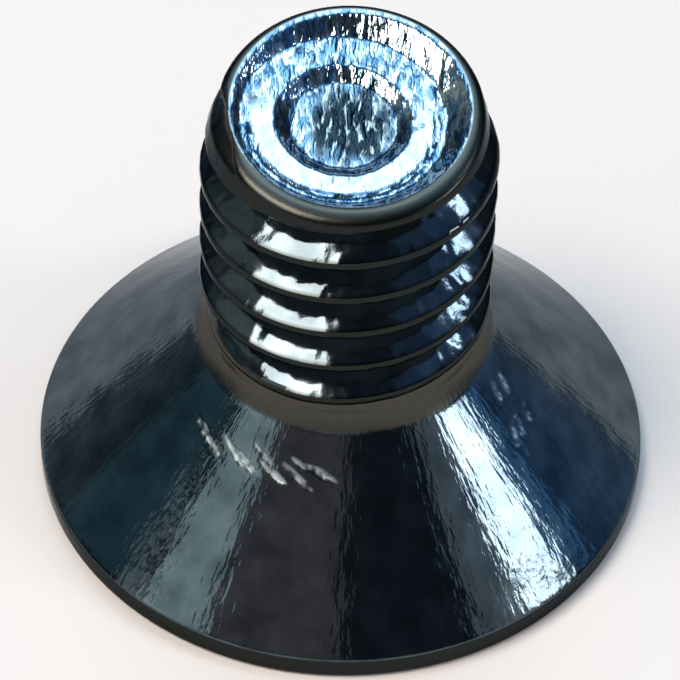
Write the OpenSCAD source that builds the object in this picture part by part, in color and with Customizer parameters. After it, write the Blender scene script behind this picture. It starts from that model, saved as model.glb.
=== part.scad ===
// Countersunk machine screw with a rolled thread, standing on the flat of its head.
// The origin is the centre of that flat, and the thread points along +Z.

/* [Head] */
// Diameter of the head over its straight edge
head_d = 10.3; // [9.4:0.1:11.2]
// Height of the straight edge, from the flat to the cone
head_land = 0.4; // [0.3:0.05:0.8]
// Rounding of the straight edge, at the flat and at the cone
head_edge_r = 0.1; // [0.05:0.01:0.12]
// Full angle of the cone that seats in the countersink
cone_angle = 90; // [82:1:100]

/* [Neck] */
// Diameter of the plain neck, the blank that the thread is rolled on
neck_d = 4.42; // [4.2:0.02:4.6]
// Length of the plain neck, from the fillet to the thread
neck_length = 0.14; // [0.1:0.02:0.6]
// Radius of the fillet from the cone to the neck
neck_fillet_r = 0.6; // [0.4:0.05:1.2]

/* [Thread] */
// Overall length along the axis, from the flat of the head to the rim of the end
length = 8.12; // [6:0.02:20]
// Diameter over the crests
thread_d = 4.88; // [4.7:0.02:5]
// Rise in one right-hand turn
thread_pitch = 0.8; // [0.6:0.05:1]
// Depth from crest to root
thread_depth = 0.49; // [0.35:0.01:0.5]
// Angle between the two flanks
flank_angle = 60; // [50:1:64]
// Width of the crest between its shoulders
crest_w = 0.14; // [0.08:0.01:0.18]
// Drop of the crest's shoulders, which the rolling leaves round
crest_drop = 0.03; // [0.01:0.01:0.05]
// Height over which the thread grows out of the neck
run_out = 0.35; // [0.3:0.05:1.6]
// Direction, seen from the end, in which the crest leaves the neck
thread_start_angle = 263; // [0:1:359]

/* [End] */
// Height of the tapered crests below the rim of the end
lead_in = 1.02; // [0.4:0.02:1.2]
// Slope of the tapered crests, from the axis
lead_in_angle = 17; // [10:1:18]
// Slant of the sheared rim
rim_tilt = 8.7; // [0:0.1:9]
// Diameter of the lip on the rim, inside its outer bevel
lip_d = 4.04; // [3.96:0.02:4.12]
// Slope of that bevel, from the axis
lip_angle = 60; // [45:1:70]
// Height below the rim over which the thread's groove stays outside the lip
lip_height = 0.5; // [0.4:0.05:0.7]
// Diameter of the floor of the cup that rolling leaves in the end
cup_floor_d = 3.32; // [3:0.02:3.4]
// Depth of the floor's middle below the rim
cup_depth = 0.15; // [0.12:0.01:0.18]
// Slope of the wall of the cup, from its axis
cup_wall_angle = 60; // [50:1:62]
// Slant of the cup towards the side of the rim's slant
cup_tilt = 7.2; // [6:0.1:9]
// Slant of the cup across that side
cup_lean = 2.2; // [0:0.1:2.6]
// Distance of the cup from the axis, across the rim's slant
cup_x = -0.12; // [-0.16:0.02:0]
// Distance of the cup from the axis, along the rim's slant
cup_y = -0.14; // [-0.16:0.02:0]
// Diameter of the dimple in the floor of the cup
dimple_d = 2.2; // [1.8:0.05:2.6]
// Depth of the dimple
dimple_depth = 0.14; // [0.04:0.01:0.2]
// Slope of the wall of the dimple, from its axis
dimple_wall_angle = 60; // [40:1:70]

/* [Socket] */
// Width of the hexagon across its flats
socket_af = 3; // [2.5:0.1:3.4]
// Depth of the hexagon's flats
socket_depth = 2.1; // [1.6:0.1:2.3]
// Full angle of the cone at the bottom of the socket
socket_point_angle = 140; // [110:1:160]
// Width of the bevel round the corners of the socket's mouth
socket_bevel = 0.12; // [0.05:0.01:0.2]
// Full angle of that bevel
socket_bevel_angle = 120; // [90:1:140]

/* [Hidden] */
$fn = 96;

// Radii
head_r = head_d / 2;
neck_r = neck_d / 2;
crest_r = thread_d / 2;
root_r = crest_r - thread_depth;
cup_floor_r = cup_floor_d / 2;
lip_r = lip_d / 2;
socket_corner_r = socket_af / 2 / cos(30);

// Heights: the cone's two ends, the neck's top, and the end
cone_slope = cone_angle / 2;
cone_top = head_land + (head_r - neck_r) / tan(cone_slope);
fillet_tangent = neck_fillet_r * tan(cone_slope / 2);
edge_tangent = head_edge_r * tan(cone_slope / 2);
neck_top = cone_top + fillet_tangent + neck_length;
lip_z = length - lip_height;
lead_in_z = length - lead_in;

// Part of the neck's radius that the thread's own body stays inside it
sink = 0.03;
// Room by which cutters pass the faces that they cut
over = 1;

// Thread section over one turn: height from the crest's middle, and radius
foot_w = crest_w / 2 + (thread_depth - crest_drop) * tan(flank_angle / 2);
section = [
    [-foot_w, root_r],
    [-crest_w / 2, crest_r - crest_drop],
    [-crest_w / 4, crest_r],
    [crest_w / 4, crest_r],
    [crest_w / 2, crest_r - crest_drop],
    [foot_w, root_r],
];
lanes = len(section);
facets = 48;
turns = ceil((length - neck_top + 2 * thread_pitch + foot_w) / thread_pitch);
rows = facets * turns;
thread_bottom = neck_top - 2 * thread_pitch;
thread_top = neck_top + (turns + 1) * thread_pitch;

// Share of the full section that has grown out of the neck at height z, clear of the neck's edge
function growth(z) = min(1, max(0, (z - neck_top - crest_w / 2) / run_out));

// The section's radius, kept under the lead-in's taper and, near the end, outside the lip
function end_r(r, z) =
    let (taper_r = crest_r - max(0, z - lead_in_z) * tan(lead_in_angle))
    let (floor_r = z > lip_z ? lip_r : root_r)
    min(max(r, floor_r), max(taper_r, floor_r));

// Point on the thread: row counts round the helix from one turn below the neck's top
function crest_z(row) = neck_top + thread_pitch * (row / facets - 1);
function turn_angle(row) = thread_start_angle + 360 * row / facets;
function on_axis(r, angle, z) = [r * cos(angle), r * sin(angle), z];
function thread_point(row, lane) =
    let (z = crest_z(row) + section[lane][0])
    let (plain_r = neck_r - sink)
    let (r = plain_r + (section[lane][1] - plain_r) * growth(max(z, crest_z(row))))
    on_axis(crest_z(row) > lead_in_z - thread_pitch ? end_r(r, z) : r, turn_angle(row), z);

// Place of each point in the thread's list: bottom ring, rows of lanes, one more first lane, top ring
function bottom_at(k) = k % facets;
function thread_at(row, lane) =
    lane == lanes ? thread_at(row + facets, 0)
    : row <= rows ? facets + row * lanes + lane
    : facets + rows * lanes + lanes - 1 + row - rows;
function top_at(k) = facets + (rows + 1) * lanes + facets + k % facets;

// Two triangles over four corners, given clockwise from outside
function two_triangles(a, b, c, d) = [[a, b, c], [a, c, d]];

// The threaded shank as one closed body, from inside the neck to past the end
module threaded_shank() {
    ring_r = neck_r - sink;
    points = [
        for (k = [0 : facets - 1]) on_axis(ring_r, turn_angle(k), thread_bottom),
        for (row = [0 : rows], lane = [0 : lanes - 1]) thread_point(row, lane),
        for (row = [rows + 1 : rows + facets]) thread_point(row, 0),
        for (k = [0 : facets - 1]) on_axis(ring_r, turn_angle(k), thread_top),
    ];
    flanks = [
        for (row = [0 : rows - 1], lane = [0 : lanes - 1])
            each two_triangles(thread_at(row, lane), thread_at(row, lane + 1),
                               thread_at(row + 1, lane + 1), thread_at(row + 1, lane)),
    ];
    skirt = [
        for (k = [0 : facets - 2])
            each two_triangles(bottom_at(k), thread_at(k, 0), thread_at(k + 1, 0), bottom_at(k + 1)),
        for (lane = [0 : lanes - 1])
            [thread_at(facets - 1, 0), thread_at(0, lane + 1), thread_at(0, lane)],
        each two_triangles(thread_at(facets - 1, 0), thread_at(0, 0), bottom_at(0), bottom_at(facets - 1)),
    ];
    crown = [
        for (lane = [0 : lanes - 1])
            [thread_at(rows + 1, 0), thread_at(rows, lane), thread_at(rows, lane + 1)],
        each two_triangles(thread_at(rows + 1, 0), thread_at(rows + facets, 0), top_at(0), top_at(1)),
        for (k = [1 : facets - 1])
            each two_triangles(thread_at(rows + k, 0), top_at(k), top_at(k + 1), thread_at(rows + k + 1, 0)),
    ];
    caps = [
        [for (k = [0 : facets - 1]) bottom_at(k)],
        [for (k = [facets - 1 : -1 : 0]) top_at(k)],
    ];
    polyhedron(points, concat(flanks, skirt, crown, caps), convexity = 10);
}

// Half section of the head and the neck: straight edge, cone, fillet and neck
module head_half() {
    cone_way = [-sin(cone_slope), cos(cone_slope)];
    edge = [head_r, head_land];
    corner = [neck_r, cone_top];
    difference() {
        union() {
            polygon([
                [0, 0],
                [head_r - head_edge_r, 0],
                [head_r, head_edge_r],
                edge - [0, edge_tangent],
                edge + edge_tangent * cone_way,
                corner - fillet_tangent * cone_way,
                corner + [0, fillet_tangent],
                [neck_r, neck_top],
                [0, neck_top],
            ]);
            for (z = [head_edge_r, head_land - edge_tangent])
                translate([head_r - head_edge_r, z])
                    circle(head_edge_r);
        }
        translate([neck_r + neck_fillet_r, cone_top + fillet_tangent])
            circle(neck_fillet_r);
    }
}

// Cutter for the hexagon socket, open at the flat of the head
module socket() {
    point_h = socket_af / 2 / tan(socket_point_angle / 2);
    mouth_r = socket_corner_r + socket_bevel;
    bevel_slope = tan(socket_bevel_angle / 2);
    translate([0, 0, -over])
        cylinder(h = socket_depth + over, r = socket_corner_r, $fn = 6);
    translate([0, 0, socket_depth])
        cylinder(h = point_h, r1 = socket_af / 2, r2 = 0);
    translate([0, 0, -over])
        cylinder(h = over + mouth_r / bevel_slope, r1 = mouth_r + over * bevel_slope, r2 = 0);
}

// Cutter for the slanted rim and the bevel outside its lip
module rim_cut() {
    reach = length + thread_top;
    bevel_h = (crest_r + over - lip_r) / tan(lip_angle);
    translate([0, 0, length])
        rotate([rim_tilt, 0, 0]) {
            cylinder(h = reach, r = reach);
            translate([0, 0, -bevel_h])
                difference() {
                    cylinder(h = bevel_h + over, r = reach);
                    cylinder(h = bevel_h, r1 = crest_r + over, r2 = lip_r);
                }
        }
}

// Cutter for a round hollow whose wall spreads by an angle from its axis, from the floor up to height h
module hollow(floor_r, wall_angle, h) {
    cylinder(h = h, r1 = floor_r, r2 = floor_r + h * tan(wall_angle));
}

// Cutter for the cup in the end and the dimple in the cup's floor
module cup_cut() {
    dimple_floor_r = dimple_d / 2 - dimple_depth * tan(dimple_wall_angle);
    translate([cup_x, cup_y, length - cup_depth])
        rotate([cup_tilt, cup_lean, 0]) {
            hollow(cup_floor_r, cup_wall_angle, cup_depth + over);
            translate([0, 0, -dimple_depth])
                hollow(dimple_floor_r, dimple_wall_angle, dimple_depth + cup_depth);
        }
}

// The screw, cold-headed and thread-rolled from one piece of wire
module screw() {
    color("#5b6066")
        difference() {
            union() {
                rotate_extrude()
                    head_half();
                threaded_shank();
            }
            socket();
            rim_cut();
            cup_cut();
        }
}

screw();
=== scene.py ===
"""Looks of a countersunk machine screw that stands on the flat of its head, thread up."""
import math
import random

import bmesh
import bpy
from mathutils import Matrix, Vector, noise


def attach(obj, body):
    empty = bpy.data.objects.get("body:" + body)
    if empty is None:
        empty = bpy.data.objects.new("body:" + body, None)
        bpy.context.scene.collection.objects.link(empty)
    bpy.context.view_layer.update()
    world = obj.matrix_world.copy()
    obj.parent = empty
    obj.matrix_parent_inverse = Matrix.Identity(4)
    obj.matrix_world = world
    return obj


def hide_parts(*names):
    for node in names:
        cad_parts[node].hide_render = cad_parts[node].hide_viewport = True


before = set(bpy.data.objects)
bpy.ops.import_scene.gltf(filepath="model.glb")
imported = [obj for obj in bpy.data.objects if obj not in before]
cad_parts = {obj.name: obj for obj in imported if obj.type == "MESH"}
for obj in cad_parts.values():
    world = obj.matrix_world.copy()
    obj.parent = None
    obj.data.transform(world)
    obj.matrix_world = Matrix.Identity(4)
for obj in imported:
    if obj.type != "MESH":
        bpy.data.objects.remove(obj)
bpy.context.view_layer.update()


# Rolled thread
# The shank is steel wire, rolled between two dies that press the roots in and push the crests out.
# It is one right-hand ridge, which grows out of the plain neck and tapers towards the end.
MM = 0.001
NECK_R = 2.21 * MM
NECK_TOP = 3.7285 * MM
PITCH = 0.8 * MM
CREST_R = 2.44 * MM
ROOT_R = 1.95 * MM
CREST_HALF = 0.07 * MM
FLANK_LEAN = 30
FLANK_SLOPE = math.tan(math.radians(FLANK_LEAN))
CREST_ROUNDING = 0.05 * MM
ROOT_ROUNDING = 0.08 * MM
START_TURN = 263 / 360
LENGTH = 8.12 * MM
RIM_SLOPE = math.tan(math.radians(8.7))
LEAD_IN_Z = 7.1 * MM
LEAD_IN_SLOPE = math.tan(math.radians(17))
LIP_R = 1.98 * MM
LIP_HEIGHT = 0.1 * MM
LIP_GROWTH = 0.5 * MM
HEAD_R = 5.15 * MM
HEAD_LAND = 0.4 * MM
CONE_LEAN = 45
CONE_TOP = HEAD_LAND + HEAD_R - NECK_R
FILLET_R = 1.2 * MM
FILLET_TANGENT = FILLET_R * math.tan(math.radians(CONE_LEAN / 2))
FILLET_REACH = 0.7 * FILLET_R
NECK_BLEND_START = 0.1 * MM
NECK_BLEND = 0.25 * MM
CREST_GROWTH_START = 0.28 * MM
CREST_GROWTH = 0.3 * MM
SHEET_BOTTOM = 3.4 * MM
SPARE_TURNS = 1.6
COLUMNS = 300
LANES = 20
WELD = 0.002 * MM


def soft_min(a, b, rounding):
    """The smaller of two lengths, with the corner between them rounded."""
    overlap = max(rounding - abs(a - b), 0.0)
    return min(a, b) - overlap * overlap / (4 * rounding)


def soft_max(a, b, rounding):
    return -soft_min(-a, -b, rounding)


def smooth_step(share):
    share = min(1.0, max(0.0, share))
    return share * share * (3 - 2 * share)


def above_neck(z):
    """From 0 on the neck to 1 where the thread's roots have their full depth."""
    return smooth_step((z - NECK_TOP + NECK_BLEND_START) / NECK_BLEND)


def neck_r(z):
    """Radius of the neck, which widens through the fillet below and narrows to the thread's roots above."""
    below = min(max(0.0, CONE_TOP + FILLET_TANGENT - z), FILLET_REACH)
    narrowing = (NECK_R - ROOT_R) * above_neck(z)
    return NECK_R + FILLET_R - math.sqrt(FILLET_R ** 2 - below ** 2) - narrowing


def crest_limit(z):
    """Radius that the crests keep to, which tapers towards the end."""
    return CREST_R - max(0.0, z - LEAD_IN_Z) * LEAD_IN_SLOPE


def thread_r(crest_z, z):
    """Radius of the shank at height z, where the nearest crest runs at crest_z."""
    flank = CREST_R - (abs(z - crest_z) - CREST_HALF) / FLANK_SLOPE
    ridge = soft_max(soft_min(CREST_R, flank, CREST_ROUNDING), ROOT_R, ROOT_ROUNDING)
    crest_growth = smooth_step((crest_z - NECK_TOP + CREST_GROWTH_START) / CREST_GROWTH)
    rolled = NECK_R + (ridge - NECK_R) * crest_growth if ridge > NECK_R else ridge
    rolled = soft_min(rolled, crest_limit(z), CREST_ROUNDING)
    if rolled <= NECK_R:
        rolled = ROOT_R + (rolled - ROOT_R) * above_neck(z)
    lip = LIP_R * smooth_step((z - LEAD_IN_Z) / LIP_GROWTH)
    return max(rolled, lip, neck_r(z))


def on_axis(r, angle, z):
    return Vector((r * math.cos(angle), r * math.sin(angle), z))


def rolled_sheet(mesh):
    """Lays the thread as one sheet that winds up the shank, a little longer than the shank at both ends."""
    first = math.floor((START_TURN - SPARE_TURNS) * COLUMNS)
    last = math.ceil((START_TURN + SPARE_TURNS + (LENGTH - NECK_TOP) / PITCH) * COLUMNS)
    points = {}

    def point(column, lane):
        if lane == LANES:
            column, lane = column + COLUMNS, 0
        if (column, lane) not in points:
            crest_z = NECK_TOP + (column / COLUMNS - START_TURN) * PITCH
            z = crest_z + (lane / LANES - 0.5) * PITCH
            spot = on_axis(thread_r(crest_z, z), column / COLUMNS * math.tau, z)
            points[column, lane] = mesh.verts.new(spot)
        return points[column, lane]

    for column in range(first, last):
        for lane in range(LANES):
            corners = [(0, 0), (1, 0), (1, 1), (0, 1)]
            mesh.faces.new([point(column + step, lane + rise) for step, rise in corners])


def cut(mesh, place, outward):
    """Cuts the sheet at a plane, drops what lies outward of it and returns the rim that is left, in order."""
    every = mesh.verts[:] + mesh.edges[:] + mesh.faces[:]
    made = bmesh.ops.bisect_plane(
        mesh, geom=every, plane_co=place, plane_no=outward, clear_outer=True, dist=WELD)
    rim = [piece for piece in made["geom_cut"] if isinstance(piece, bmesh.types.BMVert)]
    return sorted(rim, key=lambda vert: math.atan2(vert.co.y, vert.co.x))


screw_mesh = bmesh.new()
rolled_sheet(screw_mesh)
neck_rim = cut(screw_mesh, (0, 0, SHEET_BOTTOM), (0, 0, -1))
end_rim = cut(screw_mesh, (0, 0, LENGTH - LIP_HEIGHT), (0, -RIM_SLOPE, 1))


# Head
# The head is upset cold from the same wire in a conical die, whose joint leaves the straight edge.
# The cone seats in a countersink and runs into the neck through a fillet.
EDGE_ROUNDING = 0.1 * MM
EDGE_TANGENT = EDGE_ROUNDING * math.tan(math.radians(CONE_LEAN / 2))
NICKED_R = 3.4 * MM
FILLET_ROWS = 12
NICKED_ROWS = 34
CONE_ROWS = 36
EDGE_ROWS = 6
LAND_ROWS = 3


def next_ring(mesh, ring, place):
    """Adds a ring in the directions of the last one and joins the two.

    Place gives the new r and z for an angle and the last r.
    """
    new = []
    for vert in ring:
        angle = math.atan2(vert.co.y, vert.co.x)
        r, z = place(angle, math.hypot(vert.co.x, vert.co.y))
        new.append(mesh.verts.new(on_axis(r, angle, z)))
    for k in range(len(ring)):
        mesh.faces.new([ring[k - 1], ring[k], new[k], new[k - 1]])
    return new


def close_tip(mesh, ring, z):
    tip = mesh.verts.new((0, 0, z))
    for k in range(len(ring)):
        mesh.faces.new([ring[k - 1], ring[k], tip])


def line(start, end, rows):
    """Places on a straight line of the half section, without its start."""
    return [tuple(a + (b - a) * row / rows for a, b in zip(start, end)) for row in range(1, rows + 1)]


def arc(centre, radius, start, end, rows):
    """Places on an arc of the half section, from one angle to another, without its start."""
    angles = [start + (end - start) * row / rows for row in range(1, rows + 1)]
    return [(centre[0] + radius * math.cos(a), centre[1] + radius * math.sin(a)) for a in angles]


fillet_centre = (NECK_R + FILLET_R, CONE_TOP + FILLET_TANGENT)
fillet_start = math.pi + math.asin((fillet_centre[1] - SHEET_BOTTOM) / FILLET_R)
fillet = arc(fillet_centre, FILLET_R, fillet_start, math.radians(180 + CONE_LEAN), FILLET_ROWS)
cone_tilt = math.radians(CONE_LEAN)
edge_start = (HEAD_R - EDGE_TANGENT * math.sin(cone_tilt), HEAD_LAND + EDGE_TANGENT * math.cos(cone_tilt))
nicked_end = (NICKED_R, CONE_TOP + NECK_R - NICKED_R)
head_section = [
    *fillet,
    *line(fillet[-1], nicked_end, NICKED_ROWS),
    *line(nicked_end, edge_start, CONE_ROWS),
    *arc((HEAD_R - EDGE_ROUNDING, HEAD_LAND - EDGE_TANGENT), EDGE_ROUNDING, cone_tilt, 0, EDGE_ROWS),
    *line((HEAD_R, HEAD_LAND - EDGE_TANGENT), (HEAD_R, EDGE_ROUNDING), LAND_ROWS),
    *arc((HEAD_R - EDGE_ROUNDING, EDGE_ROUNDING), EDGE_ROUNDING, 0, math.radians(-90), EDGE_ROWS),
]
ring = neck_rim
for spot in head_section:
    ring = next_ring(screw_mesh, ring, lambda angle, last_r: spot)


# Drive socket
# A hexagon is punched into the flat of the head, after a bevel that leads the key in.
# The punch leaves flat walls and a shallow cone at the bottom.
SOCKET_HALF = 1.5 * MM
SOCKET_DEPTH = 2.1 * MM
MOUTH_BEVEL = 0.12 * MM
MOUTH_R = SOCKET_HALF / math.cos(math.radians(30)) + MOUTH_BEVEL
BEVEL_SLOPE = math.tan(math.radians(60))
POINT_HEIGHT = SOCKET_HALF / math.tan(math.radians(70))
FLAT_ROWS = 8
WALL_ROWS = 6
POINT_ROWS = 6


def hexagon_r(angle):
    """Distance of the hexagon's wall, which has a corner at angle 0."""
    return SOCKET_HALF / math.cos(angle % math.radians(60) - math.radians(30))


def bevel_z(angle):
    return (MOUTH_R - hexagon_r(angle)) / BEVEL_SLOPE


for spot in line((HEAD_R - EDGE_ROUNDING, 0.0), (MOUTH_R, 0.0), FLAT_ROWS):
    ring = next_ring(screw_mesh, ring, lambda angle, last_r: spot)
for row in range(WALL_ROWS + 1):
    share = row / WALL_ROWS
    ring = next_ring(screw_mesh, ring, lambda angle, last_r: (
        hexagon_r(angle), bevel_z(angle) + (SOCKET_DEPTH - bevel_z(angle)) * share))
point_section = line((SOCKET_HALF, SOCKET_DEPTH), (0.0, SOCKET_DEPTH + POINT_HEIGHT), POINT_ROWS)
for spot in [(SOCKET_HALF, SOCKET_DEPTH), *point_section[:-1]]:
    ring = next_ring(screw_mesh, ring, lambda angle, last_r: spot)
close_tip(screw_mesh, ring, SOCKET_DEPTH + POINT_HEIGHT)


# Cupped end
# Rolling draws the outside of the wire past its core, so the end is a shallow cup inside a slanted lip.
# The floor is torn steel from the cropping of the wire, with a groove and an off-centre dimple pressed in.
CUP_R = 1.96 * MM
CUP_DEPTH = 0.14 * MM
CUP_CENTRE = Vector((-0.12 * MM, -0.14 * MM))
CUP_SLOPE = Vector((-0.038, 0.126))
FLOOR_R = 1.66 * MM
BEVEL_WALL = math.tan(math.radians(30))
BEVEL_ROUNDING = 0.01 * MM
DIMPLE_R = 1.1 * MM
DIMPLE_DEPTH = 0.14 * MM
DIMPLE_ROUNDING = 0.02 * MM
GROOVE_R = 1.52 * MM
GROOVE_HALF = 0.06 * MM
GROOVE_DEPTH = 0.02 * MM
LIP_ROWS = 5
FLOOR_ROWS = 46


def rim_z(r, angle):
    return LENGTH + RIM_SLOPE * r * math.sin(angle)


def cup_z(r, angle):
    """Height of the cup's floor, with its groove and its dimple, and of the bevelled wall round it."""
    spot = Vector((r * math.cos(angle), r * math.sin(angle)))
    from_centre = (spot - CUP_CENTRE).length
    dimple_wall = max(0.0, (DIMPLE_R - from_centre) * BEVEL_WALL)
    dimple = soft_min(DIMPLE_DEPTH, dimple_wall, DIMPLE_ROUNDING)
    at_front = smooth_step((0.3 - math.sin(angle)) / 0.6)
    groove = GROOVE_DEPTH * at_front * smooth_step(1 - abs(from_centre - GROOVE_R) / GROOVE_HALF)
    floor = LENGTH - CUP_DEPTH + CUP_SLOPE.dot(spot) - dimple - groove
    bevel = soft_max(0.0, (from_centre - FLOOR_R) * BEVEL_WALL, BEVEL_ROUNDING)
    return min(floor + bevel, rim_z(r, angle))


ring = end_rim
for row in range(1, LIP_ROWS + 1):
    turn, last_turn = (math.radians(90 * k / LIP_ROWS) for k in (row, row - 1))
    narrowing = math.cos(turn) / math.cos(last_turn)
    ring = next_ring(screw_mesh, ring, lambda angle, last_r: (
        CUP_R + (last_r - CUP_R) * narrowing,
        rim_z(CUP_R + (last_r - CUP_R) * narrowing, angle) - LIP_HEIGHT * (1 - math.sin(turn))))
for row in range(1, FLOOR_ROWS):
    r = CUP_R * (1 - row / FLOOR_ROWS)
    ring = next_ring(screw_mesh, ring, lambda angle, last_r: (r, cup_z(r, angle)))
close_tip(screw_mesh, ring, cup_z(0.0, 0.0))
bmesh.ops.recalc_face_normals(screw_mesh, faces=screw_mesh.faces[:])


# Wear of the whole screw, and reflections painted on it
# Tumbling with other screws and the dies' own wear leave low waves, and a countersink has nicked the cone.
# Shares kept on the mesh tell the plating where it is drawn, scraped, headed, torn or flecked, where a dark
# or brown reflection is painted, and where it is darker in and beside the dimple.
NICK_WIDTH = 0.05 * MM
NICK_DEPTH = 0.014 * MM
NICK_REACH = 9.0
FLECK_HEIGHT = 0.016 * MM
FLOOR_WAVE = 0.008 * MM
RIPPLE = 0.008 * MM
SHANK_WAVE = 0.006 * MM
SHANK_LOSS = 0.01 * MM
HEAD_WAVE = 0.006 * MM
SMOOTH_RING_R = 1.3 * MM
SHARP_EDGE = math.radians(32)
# Each group: first and last angle in degrees from the front, nearest and farthest start from the axis,
# number of nicks, and how far one runs round the cone in degrees and outwards.
NICK_GROUPS = [
    (-54, -6, 2.84 * MM, 3.06 * MM, 16, 6, 0.12 * MM),
    (60, 73, 2.6 * MM, 3.3 * MM, 5, -2, 0.18 * MM),
]


def unrolled(degrees, r):
    """Place on the cone when it is laid flat, near enough for the length of a nick."""
    return Vector((r * math.radians(degrees), r * math.sqrt(2)))


draw = random.Random(3)
nicks = []
for first, last, nearest_r, farthest_r, count, sweep, reach in NICK_GROUPS:
    for k in range(count):
        degrees = first + (last - first) * (k + draw.random()) / count
        r = draw.uniform(nearest_r, farthest_r)
        size = draw.uniform(0.6, 1.4)
        start = unrolled(degrees, r)
        nicks.append((start, unrolled(degrees + sweep * size, r + reach * size) - start))


def waves(spot, size, seed):
    """Smooth unevenness between about -1 and 1, with waves of the given size in x, y and z."""
    return noise.noise(Vector([a / b + seed for a, b in zip(spot, size)]))


def in_cup(spot):
    r = math.hypot(spot.x, spot.y)
    return r < CUP_R - 0.01 * MM and spot.z > LENGTH - 5 * CUP_DEPTH


def nicked(spot):
    """How far a place on the cone lies inside a nick, from 0 beside it to 1 on its middle line."""
    r = math.hypot(spot.x, spot.y)
    flat_spot = unrolled(math.degrees(math.atan2(spot.x, -spot.y)), r)
    nearest = NICK_REACH
    for start, way in nicks:
        share = min(1.0, max(0.0, (flat_spot - start).dot(way) / way.length_squared))
        taper = 1.0 - 0.4 * abs(2 * share - 1)
        nearest = min(nearest, (flat_spot - start - way * share).length / (taper * NICK_WIDTH))
    return math.exp(-nearest ** 2) if HEAD_LAND < spot.z < NECK_TOP else 0.0


def unevenness(spot):
    """How far a place is pushed out along its normal, or in where it is negative."""
    r = math.hypot(spot.x, spot.y)
    angle = math.atan2(spot.y, spot.x)
    if in_cup(spot):
        below_lip = smooth_step((rim_z(r, angle) - spot.z) / (0.1 * MM))
        torn_rear = 0.35 + 0.65 * smooth_step((spot.y + 0.9 * MM) / (1.2 * MM))
        flecks = FLECK_HEIGHT * torn_rear * waves(spot, (0.11 * MM, 0.32 * MM, 0.3 * MM), 1)
        return below_lip * (flecks + FLOOR_WAVE * waves(spot, [0.4 * MM] * 3, 2))
    if spot.z > SHEET_BOTTOM:
        below_lip = smooth_step((rim_z(r, angle) - 0.02 * MM - spot.z) / (0.3 * MM))
        ripple = RIPPLE * waves(spot, (0.18 * MM, 0.18 * MM, 0.2 * MM), 3)
        return below_lip * (ripple + SHANK_WAVE * waves(spot, [0.5 * MM] * 3, 4) - SHANK_LOSS)
    if spot.z > HEAD_LAND and r > NECK_R:
        edge = smooth_step((HEAD_R - r) / (0.3 * MM))
        swell = HEAD_WAVE * waves(spot, [0.7 * MM] * 3, 5)
        return edge * (swell - NICK_DEPTH * nicked(spot))
    return 0.0


def rubbed(spot):
    """Crests and the head's edge, where a darker colour is painted on as a dark reflection."""
    r = math.hypot(spot.x, spot.y)
    if in_cup(spot):
        return 0.0
    if spot.z < HEAD_LAND:
        return smooth_step((r - HEAD_R + 0.12 * MM) / (0.1 * MM))
    if spot.z <= SHEET_BOTTOM:
        return 0.0
    return smooth_step((r - crest_limit(spot.z) + 0.09 * MM) / (0.06 * MM))


def drawn(spot):
    """Neck, fillet and the outside of the lip, which slid along the dies and are rougher; their brown colour
    is a painted reflection.
    """
    r = math.hypot(spot.x, spot.y)
    angle = math.atan2(spot.y, spot.x)
    if in_cup(spot):
        return 0.0
    lip = smooth_step((spot.z - rim_z(r, angle) + 0.3 * MM) / (0.06 * MM))
    neck = smooth_step((NECK_TOP + 0.08 * MM - spot.z) / (0.1 * MM))
    off_cone = smooth_step((r + spot.z - CONE_TOP - NECK_R - 0.002 * MM) / (0.01 * MM))
    return max(lip, neck * off_cone)


def scraped(spot):
    """The nicks, where the coat is gone and bare steel shows."""
    return nicked(spot) * smooth_step(0.7 + 1.2 * waves(spot, [0.09 * MM] * 3, 8))


def headed(spot):
    """The head, where the steel flowed outwards under the punch."""
    return 1.0 if spot.z < SHEET_BOTTOM else 0.0


def torn(spot):
    """The cup, where cropping left bare steel."""
    return 1.0 if in_cup(spot) else 0.0


def flecked(spot):
    """The cup's floor, but for a ring between the dimple and the groove that the punch left smooth."""
    if not in_cup(spot):
        return 0.0
    from_ring = abs((Vector((spot.x, spot.y)) - CUP_CENTRE).length - SMOOTH_RING_R)
    ring = smooth_step((0.24 * MM - from_ring) / (0.1 * MM))
    return 1.0 - 0.6 * ring * smooth_step((0.6 * MM - spot.y) / (0.6 * MM))


def burnt(spot):
    """Darker towards the bottom of the dimple, and in a patch beside it on the left."""
    if not in_cup(spot):
        return 0.0
    from_dark_middle = (Vector((spot.x, spot.y)) - CUP_CENTRE - Vector((0.12 * MM, 0.0))).length
    from_left = (Vector((spot.x, spot.y)) - Vector((-1.6 * MM, 0.2 * MM))).length
    tone_shift = max((0.9 * MM - from_dark_middle) / (0.4 * MM), 0.6 - from_left / (0.5 * MM))
    return smooth_step(tone_shift + 0.6 * waves(spot, (0.2 * MM, 0.4 * MM, MM), 7) * smooth_step(tone_shift + 1))


wear_and_painted_shares = (rubbed, drawn, scraped, headed, torn, flecked, burnt)
screw_mesh.normal_update()
for marking in wear_and_painted_shares:
    layer = screw_mesh.verts.layers.float.new(marking.__name__)
    for vert in screw_mesh.verts:
        vert[layer] = marking(vert.co)
moves = [(vert, vert.normal * unevenness(vert.co)) for vert in screw_mesh.verts]
for vert, move in moves:
    vert.co += move
data = bpy.data.meshes.new("plated_screw")
screw_mesh.to_mesh(data)
screw_mesh.free()
data.shade_smooth()
data.set_sharp_from_angle(angle=SHARP_EDGE)
screw = bpy.data.objects.new("plated_screw", data)
bpy.context.scene.collection.objects.link(screw)
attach(screw, "root")
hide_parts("screw")


# Dark bright plating
# Steel with a thin barrel-plated coat, close to black nickel: a dark mirror that shows the lamps as
# hard white shapes and the room as blue-grey. Barrel plating leaves it faintly clouded and pitted.
LINES_PER_RADIAN = 36.0


def linear(hex_colour):
    """Linear colour for a shader, from an sRGB hex value."""
    parts = [int(hex_colour[k:k + 2], 16) / 255 for k in (1, 3, 5)]
    return [p / 12.92 if p <= 0.04045 else ((p + 0.055) / 1.055) ** 2.4 for p in parts] + [1.0]


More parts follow.
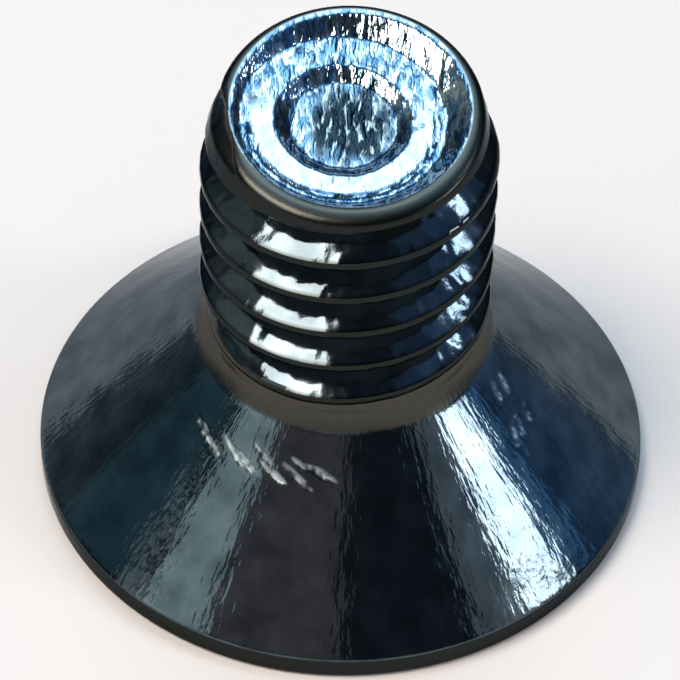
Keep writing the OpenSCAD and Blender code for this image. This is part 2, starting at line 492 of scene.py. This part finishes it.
def add_node(tree, kind, inputs=None, **settings):
    """Adds a node with its settings; an input given as a socket is linked, any other is set."""
    node = tree.nodes.new(kind)
    for name, value in settings.items():
        setattr(node, name, value)
    for name, value in (inputs or {}).items():
        if isinstance(value, bpy.types.NodeSocket):
            tree.links.new(value, node.inputs[name])
        else:
            node.inputs[name].default_value = value
    return node


def new_material(name):
    material = bpy.data.materials.new(name)
    material.use_nodes = True
    return material, material.node_tree, material.node_tree.nodes["Principled BSDF"]


plating, tree, shader = new_material("dark_nickel_plate")
place = add_node(tree, "ShaderNodeTexCoord").outputs["Object"]
share = {}
for marking in wear_and_painted_shares:
    mark = add_node(tree, "ShaderNodeAttribute", attribute_name=marking.__name__)
    share[marking.__name__] = mark.outputs["Fac"]
cloud = add_node(tree, "ShaderNodeTexNoise", {"Vector": place, "Scale": 1 / (0.6 * MM), "Detail": 4.0})
pits = add_node(tree, "ShaderNodeTexNoise", {"Vector": place, "Scale": 1 / (0.09 * MM), "Detail": 3.0})
grain = add_node(tree, "ShaderNodeMapping", {
    "Vector": place, "Scale": (1 / (0.1 * MM), 1 / (0.3 * MM), 1 / (0.3 * MM))})
tears = add_node(tree, "ShaderNodeTexNoise", {"Vector": grain.outputs["Vector"], "Scale": 1.0, "Detail": 2.0})
flecks = add_node(tree, "ShaderNodeMapRange", {
    "Value": tears.outputs["Fac"], "From Min": 0.42, "From Max": 0.58, "To Max": share["flecked"]})
darker_patch = add_node(tree, "ShaderNodeMapRange", {
    "Value": tears.outputs["Fac"], "From Min": 0.3, "From Max": 0.44, "To Max": share["burnt"]})
tone_shift = add_node(tree, "ShaderNodeMapRange", {
    "Value": cloud.outputs["Fac"], "From Min": 0.35, "From Max": 0.65})
coat = add_node(tree, "ShaderNodeMix", {
    "Factor": tone_shift.outputs["Result"], "A": linear("#424c52"), "B": linear("#586268")}, data_type="RGBA")
steel = add_node(tree, "ShaderNodeMix", {
    "Factor": flecks.outputs["Result"], "A": linear("#aab2b6"), "B": linear("#587890")}, data_type="RGBA")
tones = [
    # painted brown reflection on the neck, fillet and outside of the lip
    (share["drawn"], linear("#4a4843")),
    # painted dark reflection on the crests and the head's edge
    (share["rubbed"], linear("#2b2e2c")),
    (share["scraped"], linear("#b4bcc0")),
    (share["torn"], steel.outputs["Result"]),
    # darker towards the bottom of the dimple and in a patch to its left
    (darker_patch.outputs["Result"], linear("#1f2931")),
]
colour = coat
for factor, tone in tones:
    colour = add_node(tree, "ShaderNodeMix", {
        "Factor": factor, "A": colour.outputs["Result"], "B": tone}, data_type="RGBA")
haze = add_node(tree, "ShaderNodeMapRange", {
    "Value": cloud.outputs["Fac"], "From Min": 0.3, "From Max": 0.7, "To Min": 0.06, "To Max": 0.12})
gloss = haze
for factor, roughness in ((share["drawn"], 0.26), (share["scraped"], 0.45)):
    gloss = add_node(tree, "ShaderNodeMix", {
        "Factor": factor, "A": gloss.outputs["Result"], "B": roughness}, data_type="FLOAT")
flat = add_node(tree, "ShaderNodeVectorMath", {0: place, 1: (1.0, 1.0, 0.0)}, operation="MULTIPLY")
outward = add_node(tree, "ShaderNodeVectorMath", {0: flat.outputs["Vector"]}, operation="NORMALIZE")
along = add_node(tree, "ShaderNodeVectorMath", {0: place, 1: (0.0, 0.0, 0.1 / MM)}, operation="MULTIPLY")
flow = add_node(tree, "ShaderNodeVectorMath", {
    0: outward.outputs["Vector"], 1: along.outputs["Vector"]}, operation="ADD")
flow_lines = add_node(tree, "ShaderNodeTexNoise", {
    "Vector": flow.outputs["Vector"], "Scale": LINES_PER_RADIAN, "Detail": 2.0})
dents = add_node(tree, "ShaderNodeBump", {
    "Height": pits.outputs["Fac"], "Strength": 0.5, "Distance": 0.003 * MM})
headed_face = add_node(tree, "ShaderNodeBump", {
    "Height": flow_lines.outputs["Fac"], "Strength": share["headed"], "Distance": 0.007 * MM,
    "Normal": dents.outputs["Normal"]})
torn_face = add_node(tree, "ShaderNodeBump", {
    "Height": tears.outputs["Fac"], "Strength": share["flecked"], "Distance": 0.028 * MM,
    "Normal": headed_face.outputs["Normal"]})
shader.inputs["Metallic"].default_value = 1.0
shader.inputs["Specular Tint"].default_value = linear("#c6cace")
tree.links.new(colour.outputs["Result"], shader.inputs["Base Color"])
tree.links.new(gloss.outputs["Result"], shader.inputs["Roughness"])
tree.links.new(torn_face.outputs["Normal"], shader.inputs["Normal"])
data.materials.append(plating)


# Floor
# A sheet of matt pale card under the screw, wide enough to fill the view and the screw's reflections.
FLOOR_HALF = 700 * MM
card, tree, shader = new_material("matt_pale_card")
shader.inputs["Base Color"].default_value = linear("#ece3de")
shader.inputs["Roughness"].default_value = 0.9
shader.inputs["Specular IOR Level"].default_value = 0.0
floor_data = bpy.data.meshes.new("floor")
corners = [(-1, -1), (1, -1), (1, 1), (-1, 1)]
floor_data.from_pydata([(x * FLOOR_HALF, y * FLOOR_HALF, 0.0) for x, y in corners], [], [(0, 1, 2, 3)])
floor_data.materials.append(card)
floor = bpy.data.objects.new("floor", floor_data)
bpy.context.scene.collection.objects.link(floor)


# Studio light
# Soft boxes hang where the cone, the thread's flanks and the cup mirror them towards the camera, so that the
# bright finish shows them as the photograph does. Pale cards stand round the screw, in a dim room.
LAMP_DISTANCE = 300 * MM
CAMERA_ELEVATION = 47.75
CUP_LEAN = 8


def lean_to(degrees, lean):
    """Unit vector at so many degrees from the front to the right, leaning from the screw's axis."""
    turn, tilt = math.radians(degrees), math.radians(lean)
    return Vector((math.sin(turn) * math.sin(tilt), -math.cos(turn) * math.sin(tilt), math.cos(tilt)))


def mirrored(degrees, lean):
    """Direction the camera sees mirrored in a face of that lean, and the way it moves round the screw."""
    view = lean_to(0, 90 - CAMERA_ELEVATION)
    faces = [lean_to(degrees + step, lean) for step in (-1, 0, 1)]
    before, toward, after = (2 * face.dot(view) * face - view for face in faces)
    return toward, after - before


def around(degrees, elevation):
    """Direction of a card that stands round the screw, and its level edge."""
    return lean_to(degrees, 90 - elevation), lean_to(degrees + 90, 90)


def soft_box(name, place, width, height, radiance, colour):
    """Hangs a soft box in a direction, its width laid along another; sizes are angles in degrees."""
    lamp = bpy.data.lights.new(name, "AREA")
    lamp.shape = "RECTANGLE"
    lamp.size = 2 * LAMP_DISTANCE * math.tan(math.radians(width / 2))
    lamp.size_y = 2 * LAMP_DISTANCE * math.tan(math.radians(height / 2))
    lamp.energy = radiance * math.pi * lamp.size * lamp.size_y
    lamp.color = linear(colour)[:3]
    toward, along = place
    z_axis = toward.normalized()
    x_axis = (along - along.dot(z_axis) * z_axis).normalized()
    y_axis = z_axis.cross(x_axis)
    box = bpy.data.objects.new(name, lamp)
    spot = z_axis * LAMP_DISTANCE + Vector((0, 0, LENGTH / 2))
    box.matrix_world = Matrix.Translation(spot) @ Matrix((x_axis, y_axis, z_axis)).transposed().to_4x4()
    bpy.context.scene.collection.objects.link(box)


soft_box("key", mirrored(-28, FLANK_LEAN), 30, 22, 12.0, "#fff4e8")
soft_box("right_strip", mirrored(45, CONE_LEAN), 16, 12, 12.0, "#f6fbff")
soft_box("right_fill", mirrored(33, CONE_LEAN), 15, 14, 0.6, "#dce8f4")
soft_box("right_glow", mirrored(54, CONE_LEAN), 10, 12, 1.2, "#6fb0e8")
soft_box("right_beads", mirrored(50, FLANK_LEAN), 6, 6, 13.0, "#e6f2ff")
soft_box("right_sky", mirrored(41, FLANK_LEAN), 48, 24, 0.2, "#84b4f4")
soft_box("right_high", mirrored(45, FLANK_LEAN), 30, 18, 0.25, "#84b4f4")
soft_box("right_window", mirrored(69, CONE_LEAN), 38, 20, 0.32, "#64b0fc")
soft_box("back_panel", mirrored(0, CUP_LEAN), 22, 20, 4.2, "#d8f4ff")
soft_box("back_glow", mirrored(0, CUP_LEAN), 40, 36, 1.7, "#a0d8ff")
soft_box("back_sky", mirrored(0, CUP_LEAN), 64, 56, 0.35, "#68a8ec")
soft_box("back_low", around(180, 14), 60, 24, 1.0, "#b0d8ff")
soft_box("left_sky", mirrored(-60, FLANK_LEAN), 42, 30, 0.16, "#d4e0d8")
soft_box("left_high", mirrored(-58, FLANK_LEAN), 22, 18, 0.3, "#d4e0d8")
soft_box("left_window", mirrored(-54, CONE_LEAN), 32, 14, 0.24, "#8fdcf0")
soft_box("left_fill", mirrored(-32.5, CONE_LEAN), 20, 20, 1.6, "#e0f0ea")
soft_box("front_fill", mirrored(-11.5, CONE_LEAN), 38, 18, 0.28, "#ffdcd4")
soft_box("front_card", around(0, 11), 70, 40, 0.75, "#f6f2ec")
soft_box("left_card", around(-55, 12), 40, 30, 0.75, "#f6f2ec")
soft_box("right_card", around(55, 12), 40, 30, 0.75, "#f6f2ec")
world = bpy.data.worlds.new("dim_room")
world.use_nodes = True
tree = world.node_tree
direction = add_node(tree, "ShaderNodeTexCoord").outputs["Generated"]
height = add_node(tree, "ShaderNodeSeparateXYZ", {"Vector": direction})
rise = add_node(tree, "ShaderNodeMapRange", {"Value": height.outputs["Z"], "From Min": 0.0, "From Max": 0.3})
room = add_node(tree, "ShaderNodeMix", {
    "Factor": rise.outputs["Result"], "A": linear("#8a949c"), "B": linear("#3e4850")}, data_type="RGBA")
tree.links.new(room.outputs["Result"], tree.nodes["Background"].inputs["Color"])
bpy.context.scene.world = world


# Camera
# A long lens, so that the screw is seen almost without perspective, from the photograph's height.
CAMERA_DISTANCE = 75.63 * MM
CAMERA_ROLL = math.radians(1.7755)
CAMERA_TARGET = Vector((-0.0605 * MM, 0.0, 2.5965 * MM))
SENSOR_WIDTH_MM = 36
FOCAL_LENGTH_MM = 238.235
lens = bpy.data.cameras.new("photo_camera")
lens.sensor_width = SENSOR_WIDTH_MM
lens.lens = FOCAL_LENGTH_MM
lens.clip_start = 1 * MM
forward = -lean_to(0, 90 - CAMERA_ELEVATION)
level = Vector((1, 0, 0))
upright = level.cross(forward)
side = math.cos(CAMERA_ROLL) * level + math.sin(CAMERA_ROLL) * upright
above = math.cos(CAMERA_ROLL) * upright - math.sin(CAMERA_ROLL) * level
camera = bpy.data.objects.new("photo_camera", lens)
camera.matrix_world = (Matrix.Translation(CAMERA_TARGET - forward * CAMERA_DISTANCE)
                       @ Matrix((side, above, -forward)).transposed().to_4x4())
bpy.context.scene.collection.objects.link(camera)
bpy.context.scene.camera = camera
bpy.context.scene.view_settings.view_transform = "Standard"
